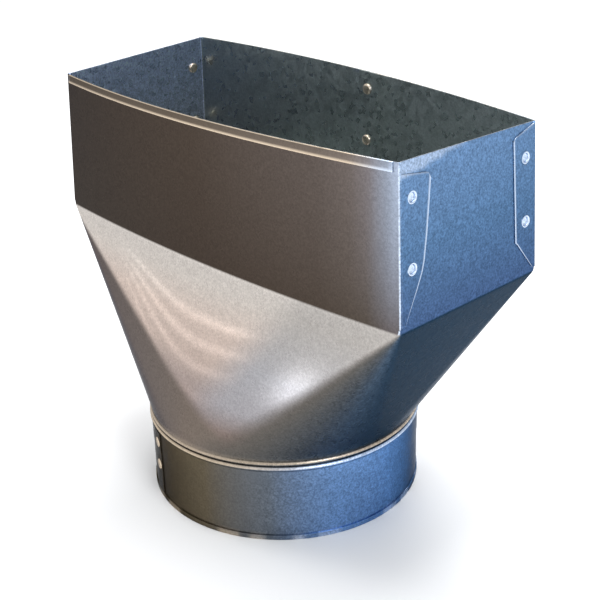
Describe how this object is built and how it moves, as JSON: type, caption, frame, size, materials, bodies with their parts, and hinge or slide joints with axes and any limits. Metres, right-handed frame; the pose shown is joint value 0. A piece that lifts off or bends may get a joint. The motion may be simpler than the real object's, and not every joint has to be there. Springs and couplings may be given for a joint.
{
  "type": "register boot",
  "caption": "Straight register boot in galvanised sheet: a folded rectangular mouth with clinched corner tabs, a square-to-round transition and a beaded round duct collar.",
  "frame": {"origin": "on the collar's axis, in the plane of its bottom edge, which the boot stands on", "axes": "+Z along the collar's axis, up towards the rectangular mouth; +X along the mouth's long side; -Y towards the long wall without the seam"},
  "size_m": [0.2548, 0.1546, 0.2269],
  "materials": {
    "boot_sheet": "galvanised, fine spangle, satin",
    "collar_sheet": "galvanised, fine spangle, satin"
  },
  "bodies": {
    "root": {"body": "boot_sheet", "collar": "collar_sheet"}
  },
  "joints": []
}
